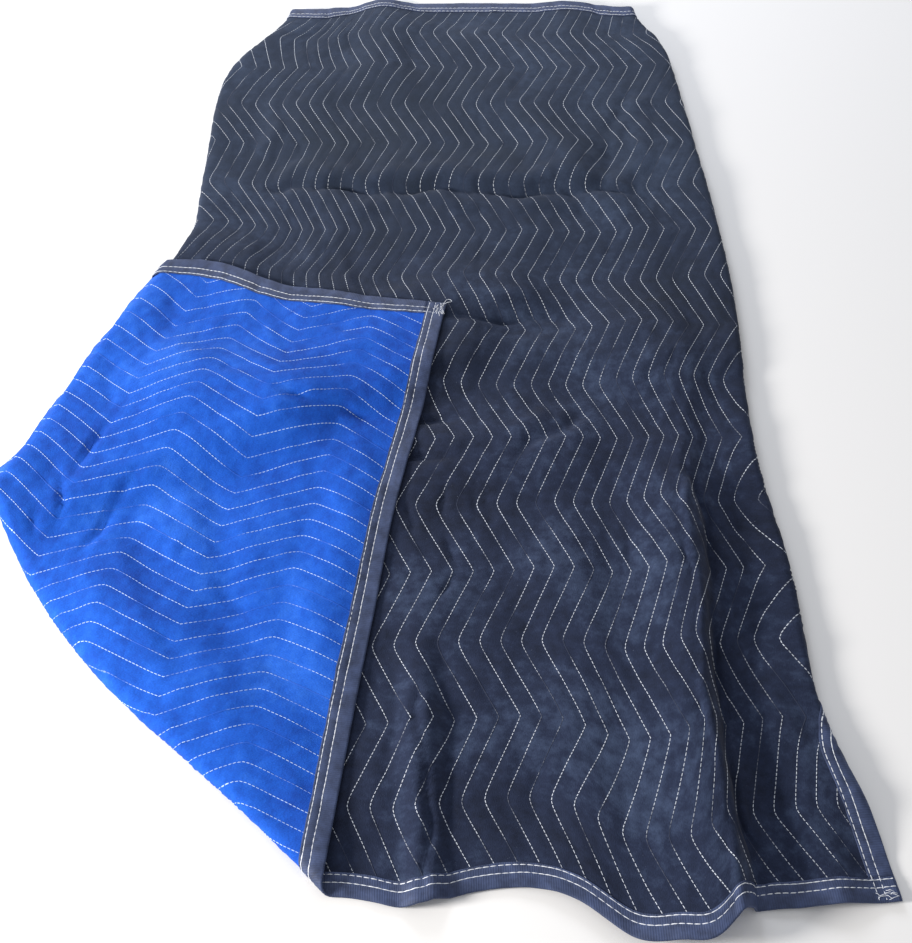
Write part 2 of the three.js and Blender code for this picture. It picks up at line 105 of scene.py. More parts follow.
CORNER_SWELLS = [
    (560, 930, 1150, 790, 24, 110, 165, 0, 0),  # bulge of the arm
    (1090, 110, 590, 690, 17, 80, 92, 0, 0),  # roll beside the fold
    (790, 740, 930, 340, 9, 62, 66, 0, 0),  # hanging crease
    (1120, 930, 1040, 180, 10, 60, 70, 0, 0),  # roll beside the tape
]
# Drifts along the floor: x, y, dx, dy, wide, deep
DRIFTS = [
    (720, 400, -47, -41, 363, 363),  # fold bulge
    (525, 730, 18, -2, 125, 135),  # left point
    (585, 950, 40, -16, 240, 190),  # left flank
    (640, 1190, 76, 0, 330, 170),  # left shoulder
    (660, 1420, 66, 0, 350, 260),  # left side
    (690, 1150, 0, 38, 130, 160),  # corner's top left
    (1160, 640, -9, 0, 120, 170),  # corner's tape
    (820, 2010, 84, -42, 170, 190),  # far left
    (1680, 2030, -45, -40, 130, 130),  # far right
    (1800, 270, -48, 0, 190, 190),  # right foot
    (1790, 700, -50, 0, 200, 330),  # right waist
    (1180, -10, 0, -18, 55, 150),  # hem pleat
    (1320, 0, 4, 9, 70, 240),  # hem back
    (1512, -10, 8, -52, 88, 420),  # front
    (1462, -10, 0, -20, 50, 300),  # front left
    (1562, -10, 0, -20, 36, 300),  # front edge
    (1690, -10, 0, -20, 190, 300),  # side panel
    (1594, -10, 5, 0, 50, 420),  # lean
    (1650, -10, -8, 0, 44, 420),  # foot
]


def smooth(t):
    t = np.clip(t, 0, 1)
    return t * t * (3 - 2 * t)


def dome(t):
    return np.where(np.abs(t) < 1, (1 - t * t) ** 2, 0.0)


def points(x, y):
    return np.stack(np.broadcast_arrays(np.asarray(x, float), np.asarray(y, float)), -1)


class Fold:
    """A straight fold. The cloth on the positive side of it is turned round a cylinder."""

    def __init__(self, start, end, turns_left, radius):
        self.start = np.array(start, float)
        along = np.array(end, float) - self.start
        self.along = along / float(np.hypot(*along))
        self.aside = np.array([self.along[1], -self.along[0]]) * (-1 if turns_left else 1)
        self.radius = radius
        self.half = math.pi * radius / 2

    def across(self, p):
        return (p - self.start) @ self.aside

    def point(self, across, along):
        across, along = np.asarray(across, float), np.asarray(along, float)
        return self.start + along[..., None] * self.along + across[..., None] * self.aside

    def mirror(self, p):
        return p - 2 * self.across(p)[..., None] * self.aside

    def turn(self, p, outside):
        run = self.across(p) + self.half
        angle = np.clip(run / self.radius, 0, math.pi)
        past = np.where(run < 0, run, -np.maximum(0, run - math.pi * self.radius))
        across = (self.radius + outside) * np.sin(angle) + past - self.half
        return self.point(across, (p - self.start) @ self.along), angle

    def stack(self, place, layer):
        near = dome(np.maximum(0, -self.across(place) - self.half) / RELAX)
        return layer + (2 * self.radius - layer) * near


def flared(p):
    """The cut with its right edge let out where it is tucked."""
    begun = smooth((p[..., 1] - RIGHT_TUCK_V) / FLARE_RISE)
    reach = begun * (1 - smooth((p[..., 1] - FLARE_END) / FLARE_FADE))
    out = FLARE * reach * smooth((p[..., 0] - WIDTH + FLARE_BAND) / FLARE_BAND)
    return points(p[..., 0] + out, p[..., 1])


corner = Fold((CORNER_U, 0), (0, CORNER_V), True, CORNER_RADIUS)
tip = corner.point(0, LEFT_TUCK_START)
left_tuck = Fold(tip, (LEFT_TUCK_U, LENGTH), True, TUCK_RADIUS)
right_top = (WIDTH - RIGHT_TUCK_U, LENGTH)
right_tuck = Fold((WIDTH, RIGHT_TUCK_V), right_top, False, TUCK_RADIUS)


def corners(fold, *places):
    return [fold.mirror(np.array(p, float)) for p in places]


left_part = corners(left_tuck, tip, (0, CORNER_V), (0, LENGTH), (LEFT_TUCK_U, LENGTH))
right_part = corners(right_tuck, right_tuck.start, right_top, (WIDTH, LENGTH))
edge_top = corner.mirror(np.array([0.0, 0.0]))
edge_end = np.array([0.0, CORNER_V])
edge_share = left_tuck.across(edge_top) / (left_tuck.across(edge_top) - left_tuck.across(edge_end))
corner_part = corners(left_tuck, tip, edge_top + (edge_end - edge_top) * edge_share, edge_end)


def outside(p, shape):
    """How far points are outside a shape with corners that bulge, 0 within it."""
    crosses, aways = [], []
    for i, start in enumerate(shape):
        run = shape[(i + 1) % len(shape)] - start
        rest = p - start
        share = np.clip(rest @ run / (run @ run), 0, 1)
        crosses.append(run[0] * rest[..., 1] - run[1] * rest[..., 0])
        aways.append(np.linalg.norm(rest - share[..., None] * run, axis=-1))
    crosses = np.array(crosses)
    within = (crosses >= 0).all(0) | (crosses <= 0).all(0)
    return np.where(within, 0, np.min(aways, axis=0))


def under(p, shape):
    return 1 - smooth((outside(p, shape) - LEDGE) / RAMP)


def swell_height(p, swells):
    total = np.zeros(p.shape[:-1])
    for x0, y0, x1, y1, high, left, right, near, far in swells:
        run = np.array([x1 - x0, y1 - y0], float)
        rest = p - np.array([x0, y0])
        share = rest @ run / (run @ run)
        side = (run[0] * rest[..., 1] - run[1] * rest[..., 0]) / np.hypot(*run)
        mid = 1 - np.abs(2 * share - 1)
        end = np.where(share < 0.5, near, far)
        fade = end + (1 - end) * smooth(SWELL_END * mid)
        height = high * fade * dome(side / np.where(side > 0, left, right))
        total += np.where((share < 0) | (share > 1), 0, height)
    return total


# Creases pressed or pulled into the laid cloth: x0, y0, x1, y1, how high (below 0 a trough), how wide.
FACE_CREASES = [
    (780, 1394, 1610, 1377, -8.5, 17),  # pressed across the back, high
    (800, 1432, 1590, 1414, 4.5, 34),
    (800, 1352, 1590, 1336, 4.0, 30),
    (930, 1034, 1460, 1041, -7.5, 15),  # and low
    (950, 1074, 1440, 1080, 3.5, 28),
    (1286, 1830, 1276, 430, -1.2, 8),  # pressed along the middle
    (1120, 806, 1275, 808, -7.0, 14),  # the lap folds in beside the corner
    (1110, 738, 1282, 723, -8.0, 13),
    (1110, 772, 1290, 765, 5.0, 24),
    (1400, 960, 1640, 905, 4.5, 40),  # the lap's rounded front
    (1120, 905, 1400, 890, -4.0, 26),
    (1330, 705, 1465, 842, -8.5, 19),  # and slants up beside the arm
    (1310, 738, 1425, 846, 3.5, 22),
    (1395, 760, 1480, 842, -4.0, 14),
    (1228, 700, 1226, 585, -4.0, 9),  # pulled rows below the lap
    (1226, 600, 1256, 508, -4.5, 9),
    (1256, 516, 1214, 440, -3.5, 8),
    (1170, 690, 1186, 560, -3.0, 9),
    (1286, 690, 1300, 590, -2.5, 9),
    (1515, 600, 1522, 480, -4.0, 12),  # drawn folds at the knee
    (1545, 590, 1560, 470, 3.0, 14),
    (1602, 600, 1625, 450, -4.0, 13),
    (1640, 740, 1676, 470, -7.0, 15),
    (1705, 760, 1722, 520, -4.0, 16),
    (1194, 330, 1207, -40, -6.5, 11),  # the pleat in the hem
    (1228, 320, 1236, 60, -3.5, 11),
    (1255, 300, 1222, 190, -3.0, 9),
    (1168, 280, 1150, 120, -2.5, 12),
    (1666, 720, 1642, -60, -12.0, 17),  # where the front falls over the side
    (1632, 700, 1608, -60, 5.0, 15),
    (1690, 420, 1790, 452, -2.5, 10),  # the side panel is squeezed here
    (1688, 380, 1786, 402, -3.0, 9),
    (1700, 340, 1782, 350, -2.0, 9),
    (1400, 330, 1560, 352, -2.2, 12),  # slack across the front
    (1460, 290, 1600, 330, 2.2, 16),
    (1330, 250, 1440, 262, -1.8, 10),
    (1560, 250, 1640, 300, -2.5, 12),
    (1480, 120, 1600, 160, 2.0, 30),
    (1640, 1700, 1560, 1330, 5.0, 34),  # slack down the right of the back
    (1600, 1720, 1500, 1350, -3.5, 22),
    (850, 1700, 800, 1440, 4.0, 26),
    (880, 1560, 905, 1470, -2.5, 12),
]
BACK_CREASES = [
    (930, 846, 1050, 816, -7.0, 15),  # across the turned-back corner, below the dip
    (1030, 822, 1140, 804, -7.5, 13),
    (800, 905, 980, 842, -3.0, 26),
    (745, 720, 700, 535, -5.0, 11),
    (658, 820, 640, 660, -5.0, 11),
    (618, 710, 652, 580, -4.5, 10),
    (700, 960, 820, 880, 3.5, 30),
    (980, 1020, 1120, 985, -3.5, 20),  # where it hangs from its tape
    (600, 650, 610, 560, -2.0, 8),
    (862, 610, 824, 530, 2.5, 12),
    (738, 392, 762, 300, -3.0, 9),
    (690, 440, 720, 360, -2.0, 9),
    (850, 270, 896, 338, 2.5, 14),
    (880, 560, 960, 430, -2.0, 18),
    (640, 900, 700, 800, -2.0, 16),
    (900, 700, 1010, 640, 2.0, 26),
]


def crease_height(p, creases):
    total = np.zeros(p.shape[:-1])
    for x0, y0, x1, y1, high, wide in creases:
        run = np.array([x1 - x0, y1 - y0], float)
        reach = np.hypot(*run)
        rest = p - np.array([x0, y0])
        along = rest @ run / reach
        side = (run[0] * rest[..., 1] - run[1] * rest[..., 0]) / reach
        wander = wide * (0.4 * np.sin(along / 43 + x0) + 0.2 * np.sin(along / 17 + y0))
        ease = np.minimum(CREASE_END, reach / 2)
        fade = smooth(along / ease) * smooth((reach - along) / ease)
        fade = fade * (0.75 + 0.25 * np.sin(along / 31 + x1))
        deeper = SHARP_CREASE if wide < SHARP_WIDTH else SOFT_CREASE
        total += high * deeper * fade * dome((side + wander) / wide)
    return total


def rumple_waves(seed, count, short, long):
    """Directions, lengths and starts of the waves that together make an even slackness."""
    rng = random.Random(seed)
    waves = []
    for _ in range(count):
        turn, wave = rng.uniform(0, math.pi), rng.uniform(short, long)
        waves.append((math.cos(turn) / wave, math.sin(turn) / wave, rng.uniform(0, 1)))
    return waves


BROAD_WAVES = rumple_waves(11, 9, 120, 260)
FINE_WAVES = rumple_waves(12, 12, 34, 80)
PUCKER_WAVES = rumple_waves(13, 10, 18, 32)


def rumple(p, waves, sharp):
    total = sum(np.sin(2 * math.pi * (p[..., 0] * kx + p[..., 1] * ky + start)) for kx, ky, start in waves)
    total = total / math.sqrt(len(waves) / 2)
    return np.sign(total) * np.abs(total) ** sharp


def left_part_height(place):
    return corner.stack(left_tuck.mirror(place), CORNER_LAYER) * under(place, corner_part)


def main_height(place):
    left = left_part_height(place) + left_tuck.stack(place, LAYER) * under(place, left_part)
    right = right_tuck.stack(place, LAYER) * under(place, right_part)
    return np.maximum(left, right) + swell_height(place, SWELLS)


def drift(p):
    moved = p.copy()
    for x, y, dx, dy, wide, deep in DRIFTS:
        share = np.exp(-(((p[..., 0] - x) / wide) ** 2) - ((p[..., 1] - y) / deep) ** 2)
        moved = moved + share[..., None] * np.array([dx, dy])
    return moved


def slack(place, edge, turned, tucked):
    """Creases and slackness of the top layers: of the main sheet, or of the corner turned over it. Away from
    the edges the cloth stands a little higher, so that its creases have a depth to sink into."""
    on_face = crease_height(place, FACE_CREASES)
    on_back = crease_height(place, BACK_CREASES)
    broad = BROAD_RIPPLE * rumple(place, BROAD_WAVES, 1.0)
    loose = LOOSE + broad + FINE_RIPPLE * rumple(place, FINE_WAVES, 1.2)
    loose = loose + RELIEF * smooth((edge - RELIEF_START) / RELIEF_RAMP)
    still = np.where((turned > 0.001) & (turned < 0.999), SLACK_ON_FOLD, 1.0) * (1 - tucked)
    return (np.where(turned > 0.5, on_back, on_face) + loose) * still


def middle(u, v):
    """The middle of the laid cloth at points of the cut."""
    over, over_angle = corner.turn(flared(points(u, v)), 0)
    turned = (1 - np.cos(over_angle)) / 2
    lift = corner.stack(over, CORNER_LAYER) * turned
    left, left_angle = left_tuck.turn(over, lift)
    right, right_angle = right_tuck.turn(over, lift)
    angle = np.where(left_angle > 0, left_angle, right_angle)
    place = np.where((left_angle > 0)[..., None], left, np.where((right_angle > 0)[..., None], right, over))
    tucked = (1 - np.cos(angle)) / 2
    bulge = np.where(turned >= 1, swell_height(over, CORNER_SWELLS), 0)
    top = np.where(tucked < 1, main_height(place) + lift + bulge, 0)
    top = top + slack(place, edge_distance(u, v), turned, tucked)
    top = (top + np.sqrt(top * top + FLOOR_SOFTNESS)) / 2  # nothing sinks into the floor
    base = np.where(tucked > 0, np.maximum(0, left_part_height(place) - lift), 0)
    moved = drift(place)
    height = top * (1 - tucked) + base * tucked
    return np.stack([moved[..., 0] - CENTRE_X, moved[..., 1] - CENTRE_Y, height + THICK / 2], -1)


def lay(u, v, raised):
    """Points of the cut, raised off the middle of the laid cloth on the face's side, in metres."""
    step = 0.5
    du = middle(u + step, v) - middle(u - step, v)
    dv = middle(u, v + step) - middle(u, v - step)
    normal = np.cross(du, dv)
    normal /= np.linalg.norm(normal, axis=-1, keepdims=True)
    return (middle(u, v) + normal * np.asarray(raised)[..., None]) * 0.001


# ---------------------------------------------------------------- the quilting


def zigzag(v):
    """How far a row is to the side of its middle. Its points are a little rounded."""
    turn = np.abs(np.mod(v / ZIG_HALF, 2) - 1)
    low = np.sqrt(turn**2 + ZIG_ROUND**2) - ZIG_ROUND
    return ZIG_REACH * (2 * (1 - (np.sqrt((1 - low) ** 2 + ZIG_ROUND**2) - ZIG_ROUND)) - 1)


def edge_distance(u, v):
    return np.minimum(np.minimum(u, WIDTH - u), np.minimum(v, LENGTH - v))


def puff(u, v):
    """0 on a stitched row and 1 half way to the next."""
    return np.abs(np.cos(math.pi * (u - zigzag(v)) / ROW_PITCH)) ** PUFF


def cloth_top(u, v):
    """From the middle of the cloth to the outside of either quilted side. The stitching draws the cloth up in
    small puckers, mostly between the rows."""
    free = smooth((edge_distance(u, v) - BAND) / PRESS)
    thick = PANEL_EDGE + (PANEL - PANEL_EDGE) * free
    full = puff(u, v)
    reach = PUCKER_ON_ROW + (1 - PUCKER_ON_ROW) * full
    pucker = PUCKER * free * reach * smooth(0.5 + 0.5 * rumple(points(u, v), PUCKER_WAVES, 1.0))
    return GAP / 2 + thick - QUILT_DEPTH * (1 - full) * (QUILT_AT_EDGE + (1 - QUILT_AT_EDGE) * free) - pucker


# ---------------------------------------------------------------- making pieces


def in_metres(a, b):
    return a * 0.001, b * 0.001


def grid_piece(
    name, columns, rows, place, outward=True, uv_of=in_metres, gap_after=None, row_gap_after=None
):
    """A grid of cloth. columns and rows are the steps of its two ways, place turns them into points and uv_of
    into the two lengths, in metres, that its material follows. There is nothing between a step with a gap
    after it and the next."""
    nx, ny = len(columns) - 1, len(rows) - 1
    bm = bmesh.new()
    bmesh.ops.create_grid(bm, x_segments=nx, y_segments=ny, size=0.5)
    for steps, axis, count, gap in ((columns, 0, nx, gap_after), (rows, 1, ny, row_gap_after)):
        if gap:
            between = [
                face
                for face in bm.faces
                if gap(steps[int((face.calc_center_median()[axis] + 0.5) * count)])
            ]
            bmesh.ops.delete(bm, geom=between, context="FACES_ONLY")
    if not outward:
        bmesh.ops.reverse_faces(bm, faces=bm.faces[:])
    mesh = bpy.data.meshes.new(name)
    bm.to_mesh(mesh)
    bm.free()
    co = np.empty(len(mesh.vertices) * 3)
    mesh.vertices.foreach_get("co", co)
    co = co.reshape(-1, 3)
    a = np.asarray(columns, float)[np.rint((co[:, 0] + 0.5) * nx).astype(int)]
    b = np.asarray(rows, float)[np.rint((co[:, 1] + 0.5) * ny).astype(int)]
    mesh.vertices.foreach_set("co", place(a, b).astype(np.float32).ravel())
    loops = np.empty(len(mesh.loops), np.int32)
    mesh.loops.foreach_get("vertex_index", loops)
    first, second = uv_of(a, b)
    layer = mesh.uv_layers.new(name="cloth")
    layer.data.foreach_set("uv", np.stack([first, second], -1)[loops].astype(np.float32).ravel())
    mesh.polygons.foreach_set("use_smooth", [True] * len(mesh.polygons))
    mesh.update()
    piece = bpy.data.objects.new(name, mesh)
    bpy.context.scene.collection.objects.link(piece)
    return piece


def joined(name, parts):
    """Several grids as one piece."""
    with bpy.context.temp_override(active_object=parts[0], selected_editable_objects=parts):
        bpy.ops.object.join()
    parts[0].name = parts[0].data.name = name
    return parts[0]


def finished(piece, material, slot, *nodes):
    piece.data.materials.append(material)
    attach(piece, "root")
    if nodes:
        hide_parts(*nodes)
    return piece


# ---------------------------------------------------------------- materials


def linear(code):
    """An sRGB colour as hex, in linear light with alpha 1."""
    channels = [int(code[i : i + 2], 16) / 255 for i in (0, 2, 4)]
    return [c / 12.92 if c <= 0.04045 else ((c + 0.055) / 1.055) ** 2.4 for c in channels] + [1.0]


def add(tree, kind, inputs=None, **settings):
    """A node with its settings, and its inputs as numbers or as other nodes' outputs."""
    node = tree.nodes.new("ShaderNode" + kind)
    for key, value in settings.items():
        setattr(node, key, value)
    for key, value in (inputs or {}).items():
        if isinstance(value, bpy.types.NodeSocket):
            tree.links.new(value, node.inputs[key])
        else:
            node.inputs[key].default_value = value
    return node.outputs


def new_material(name):
    material = bpy.data.materials.new(name)
    material.use_nodes = True
    tree = material.node_tree
    tree.nodes.clear()
    return material, tree


def finish_material(tree, inputs):
    shader = add(tree, "BsdfPrincipled", inputs)
    add(tree, "OutputMaterial", {"Surface": shader["BSDF"]})


def brushed_nonwoven(name, dark, mid, light, far, lint, sheen):
    """Brushed non-woven polyester felt: matte, cloudy where the pile lies differently or its nap is brushed
    another way, with short fibres pressed along the length and specks of lint. far is the colour it leans to
    at the far end: painted light, which makes the navy's far end lighter and greyer."""
    material, tree = new_material(name)
    uv = add(tree, "UVMap", uv_map="cloth")["UV"]
    cloud = add(tree, "TexNoise", {"Vector": uv, "Scale": 7.0, "Detail": 5.0, "Roughness": 0.62})["Fac"]
    patch = add(tree, "TexNoise", {"Vector": uv, "Scale": 46.0, "Detail": 4.0, "Roughness": 0.7})["Fac"]
    # Fibres about 3 mm long and 1 mm apart, coarser than the real ones so that they show.
    pressed = add(tree, "Mapping", {"Vector": uv, "Scale": (950.0, 330.0, 1.0)})["Vector"]
    fibre = add(tree, "TexNoise", {"Vector": pressed, "Scale": 1.0, "Detail": 2.0, "Roughness": 0.6})["Fac"]
    nap = add(tree, "TexNoise", {"Vector": uv, "Scale": 2.3, "Detail": 2.0, "Roughness": 0.5})["Fac"]
    pile = add(tree, "Mix", {0: 0.5, 2: cloud, 3: patch}, data_type="FLOAT")[0]
    brushed = add(tree, "Mix", {0: 0.35, 2: pile, 3: nap}, data_type="FLOAT")[0]
    tone = add(tree, "ValToRGB", {"Fac": brushed})
    ramp = tone["Color"].node.color_ramp
    ramp.elements[0].position, ramp.elements[0].color = 0.36, linear(dark)
    ramp.elements[1].position, ramp.elements[1].color = 0.66, linear(light)
    middle_stop = ramp.elements.new(0.51)
    middle_stop.color = linear(mid)
    # Painted light: from 0.75 m to 1.5 m along the length the colour leans up to 55 % towards far, so the far
    # end is painted lighter and greyer.
    along = add(tree, "SeparateXYZ", {"Vector": uv})["Y"]
    span = {"From Min": 0.75, "From Max": 1.5, "To Max": 0.55}
    reach = add(tree, "MapRange", {"Value": along, **span})["Result"]
    far_end_painted_light = add(tree, "Mix", {0: reach, 6: tone["Color"], 7: linear(far)}, data_type="RGBA")[2]
    span = {"From Min": 0.3, "From Max": 0.7, "To Min": 0.82, "To Max": 1.16}
    shade = add(tree, "MapRange", {"Value": fibre, **span})["Result"]
    piled = add(tree, "HueSaturation", {"Color": far_end_painted_light, "Value": shade})["Color"]
    specks = add(tree, "TexNoise", {"Vector": uv, "Scale": 210.0, "Detail": 3.0, "Roughness": 0.75})["Fac"]
    span = {"From Min": 0.68, "From Max": 0.76, "To Max": 0.5}
    spot = add(tree, "MapRange", {"Value": specks, **span})["Result"]
    colour = add(tree, "Mix", {0: spot, 6: piled, 7: linear(lint)}, data_type="RGBA")[2]
    height = add(tree, "Mix", {0: 0.45, 2: fibre, 3: patch}, data_type="FLOAT")[0]
    bump = add(tree, "Bump", {"Strength": 0.8, "Distance": 0.0014, "Height": height})["Normal"]
    finish_material(
        tree,
        {
            "Base Color": colour,
            "Roughness": 0.92,
            "Specular IOR Level": 0.2,
            "Sheen Weight": sheen,
            "Sheen Roughness": 0.45,
            "Normal": bump,
        },
    )
    return material


def woven_tape():
    """Woven polypropylene binding tape: a tight plain weave with a dull shine, creased by the sewing."""
    material, tree = new_material("woven_polypropylene_navy")
    uv = add(tree, "UVMap", uv_map="cloth")["UV"]
    # Ribs 1.6 mm apart, coarser than the real weave so that they show.
    weave = {"Vector": uv, "Scale": 100.0, "Distortion": 1.5, "Detail": 1.0}
    ribs = add(tree, "TexWave", weave, bands_direction="X")
    wear = add(tree, "TexNoise", {"Vector": uv, "Scale": 38.0, "Detail": 5.0, "Roughness": 0.65})["Fac"]
    tone = add(tree, "ValToRGB", {"Fac": wear})
    ramp = tone["Color"].node.color_ramp
    ramp.elements[0].position, ramp.elements[0].color = 0.34, linear("29334e")
    ramp.elements[1].position, ramp.elements[1].color = 0.7, linear("445277")
    shade = add(tree, "MapRange", {"Value": ribs["Fac"], "To Min": 0.86, "To Max": 1.1})["Result"]
    colour = add(tree, "HueSaturation", {"Color": tone["Color"], "Value": shade})["Color"]
    height = add(tree, "Mix", {0: 0.6, 2: ribs["Fac"], 3: wear}, data_type="FLOAT")[0]
    bump = add(tree, "Bump", {"Strength": 0.5, "Distance": 0.0009, "Height": height})["Normal"]
    finish_material(
        tree, {"Base Color": colour, "Roughness": 0.66, "Specular IOR Level": 0.35, "Normal": bump}
    )
    return material


def sewn_thread(name, white, cloth, stitch, dived):
    """Spun polyester thread, sewn: white where a stitch lies on top and the cloth's colour where it dives in
    or the pile has closed over it. stitch is one stitch's length in metres, and dived how much of it is in
    the cloth."""
    material, tree = new_material(name)
    uv = add(tree, "UVMap", uv_map="cloth")["UV"]
    parts = add(tree, "SeparateXYZ", {"Vector": uv})
    count = add(tree, "Math", {0: parts["X"], 1: stitch}, operation="DIVIDE")["Value"]
    share = add(tree, "Math", {0: count}, operation="FRACT")["Value"]
    dive = add(tree, "MapRange", {"Value": share, "From Min": dived, "From Max": dived + 0.12})["Result"]
    stretched = add(tree, "Mapping", {"Vector": uv, "Scale": (11.0, 41.0, 1.0)})["Vector"]
    lost = add(tree, "TexNoise", {"Vector": stretched, "Scale": 1.0, "Detail": 3.0, "Roughness": 0.55})["Fac"]
    seen = add(tree, "MapRange", {"Value": lost, "From Min": 0.38, "From Max": 0.5})["Result"]
    shown = add(tree, "Math", {0: dive, 1: seen}, operation="MULTIPLY")["Value"]
    colour = add(tree, "Mix", {0: shown, 6: linear(cloth), 7: linear(white)}, data_type="RGBA")[2]
    finish_material(
        tree, {"Base Color": colour, "Roughness": 0.6, "Specular IOR Level": 0.3, "Sheen Weight": 0.2}
    )
    return material


def plain_material(name, code, rough):
    material, tree = new_material(name)
    finish_material(tree, {"Base Color": linear(code), "Roughness": rough})
    return material


# The navy's far colour, 303b4b, is painted light: lighter and greyer than its middle tone. The blue's far
# colour is its own middle tone.
navy_felt = brushed_nonwoven(
    "brushed_nonwoven_polyester_navy", "131929", "232c44", "42506c", "303b4b", "7f8a9e", 0.05
)
blue_felt = brushed_nonwoven(
    "brushed_nonwoven_polyester_blue", "123f9e", "1a59c6", "3070dc", "1a59c6", "6a94e2", 0.04
)
tape_weave = woven_tape()
face_thread = sewn_thread("spun_polyester_thread_on_navy", "d3dae6", "242d45", 0.0062, 0.3)
back_thread = sewn_thread("spun_polyester_thread_on_blue", "bcd6fb", "1a59c6", 0.0062, 0.3)
loose_thread = plain_material("spun_polyester_thread_white", "dce1ea", 0.6)

# ---------------------------------------------------------------- the two quilted sides

ZIG_STEPS = 15  # steps of the grid from one point of the zigzag to the next
SHARES = (0, 0.2, 0.38, 0.5, 0.62, 0.8)  # the grid's columns across one row, closest at its stitching
CLOSE_SHARES = [k / 12 for k in range(12)]  # and where the right edge is let out
CLOSE_FROM = 54  # from this row on
STRAIGHT, BENDING = 10, 85  # how far in from a side edge the columns are straight, and on to the full zigzag
lengthwise = np.append(np.arange(0, LENGTH - 3, ZIG_HALF / ZIG_STEPS), LENGTH)
crosswise = [
    (i + share) * ROW_PITCH for i in range(ROWS) for share in (SHARES if i < CLOSE_FROM else CLOSE_SHARES)
] + [WIDTH]


def along_rows(s, v):
    """The grid's columns follow the zigzag, but for those at the two side edges, which are straight."""
    return s + zigzag(v) * smooth((np.minimum(s, WIDTH - s) - STRAIGHT) / BENDING)


def quilted_side(name, side):
    return grid_piece(
        name,
        crosswise,
        lengthwise,
        lambda s, v: lay(along_rows(s, v), v, side * cloth_top(along_rows(s, v), v)),
        outward=side > 0,
        uv_of=lambda s, v: in_metres(along_rows(s, v), v),
    )


face = finished(quilted_side("quilted_face", 1), navy_felt, "navy_face", "face_panel")
back = finished(quilted_side("quilted_back", -1), blue_felt, "blue_back", "back_panel")

# ---------------------------------------------------------------- the quilting thread

THREAD = 0.52  # half of its width
THREAD_RISE, THREAD_SIDE = 0.62, 0.12  # how far its crest and its two sides stand off the cloth
THREAD_RUN, THREAD_SHIFT = 0.0011, 0.0017  # metres of thread for each millimetre of cut, and for each row


def quilting_thread(name, side, material):
    """Three points across each row, and the row's number, make its columns."""
    inner = BAND - 5

    def place(column, v):
        row, offset = column // 3, column % 3 - 1
        u = np.clip((row + 0.5) * ROW_PITCH + zigzag(v), inner, WIDTH - inner)
        raised = cloth_top(u, v) + np.where(offset == 0, THREAD_RISE, THREAD_SIDE)
        return lay(u + THREAD * offset, v, side * raised)

    rows = lengthwise[(lengthwise > inner) & (lengthwise < LENGTH - inner)]
    return grid_piece(
        name,
        np.arange(3 * ROWS),
        np.concatenate([[inner], rows, [LENGTH - inner]]),
        place,
        outward=side > 0,
        uv_of=lambda column, v: (v * THREAD_RUN + (column // 3) * THREAD_SHIFT, (column // 3) * 0.03 + 0 * v),
        gap_after=lambda column: column % 3 == 2,
    )


face_rows = finished(quilting_thread("face_quilting", 1, face_thread), face_thread, None)
back_rows = finished(quilting_thread("back_quilting", -1, back_thread), back_thread, None)

# ---------------------------------------------------------------- the binding

# The tape's section, from its inner edge on the face to its fold: how far from the bare edge, how far out.
SECTION = [
    (33.0, 1.3),
    (33.2, 2.1),
    (32.4, 2.5),
    (31.0, 2.45),
    (29.5, 2.1),
    (28.0, 2.45),
    (24.0, 2.65),
    (20.0, 2.45),
    (18.5, 2.1),
    (17.0, 2.45),
    (11.0, 2.75),
    (5.0, 2.6),
    (1.5, 2.35),
    (0.0, 2.1),
    (-1.0, 1.2),
]
FOLD_AT = (-1.3, 0.0)
section = SECTION + [FOLD_AT] + [(distance, -out) for distance, out in reversed(SECTION)]
TAPE_STEP = 5  # the grid's step along the tape
TAPE_END = 0.35  # how thick its closed ends are
CRUMPLE, WAVER = 0.07, 0.7  # how uneven its thickness and its inner edge are
STITCH_LINES = (29.5, 18.5)  # from the bare edge
STITCH_LAG, STITCH_WAVER = 0.37, 0.35  # from one line to the other in stitches, and how uneven a line is
STITCH, STITCH_STEPS = 9.5, 4  # one stitch's length, and the grid's steps along it
HEM_THREAD = 0.62  # half of its width
STITCH_BASE, STITCH_SIDE = 1.85, 0.45  # where it lies, and how far its two sides are below its crest
STITCH_RISE_FACE, STITCH_RISE_BACK = 1.2, 1.0
STITCH_LOW = 0.45  # how much of its rise a stitch on the back keeps between two dives
OVERHANG = GAP + TAPE

# Each edge: the tape's start and end, a point of the cut from the way along it and the distance from the
# edge, and whether its grid faces outwards as it is made.
EDGES = {
    "near_hem": (-OVERHANG, WIDTH + OVERHANG, lambda a, d: (a, d), False),
    "far_hem": (-OVERHANG, WIDTH + OVERHANG, lambda a, d: (a, LENGTH - d), True),
    "left": (BAND + GAP, LENGTH - BAND - GAP, lambda a, d: (d, a), True),
    "right": (BAND + GAP, LENGTH - BAND - GAP, lambda a, d: (WIDTH - d, a), False),
}


def wobble(a, start):
    """The sewing's unevenness, as three waves."""
    long, short = 0.5 * np.sin(a / 23 + start), 0.3 * np.sin(a / 9.1 + 2 * start)
    return long + short + 0.25 * np.sin(a / 4.3 + start * 5)


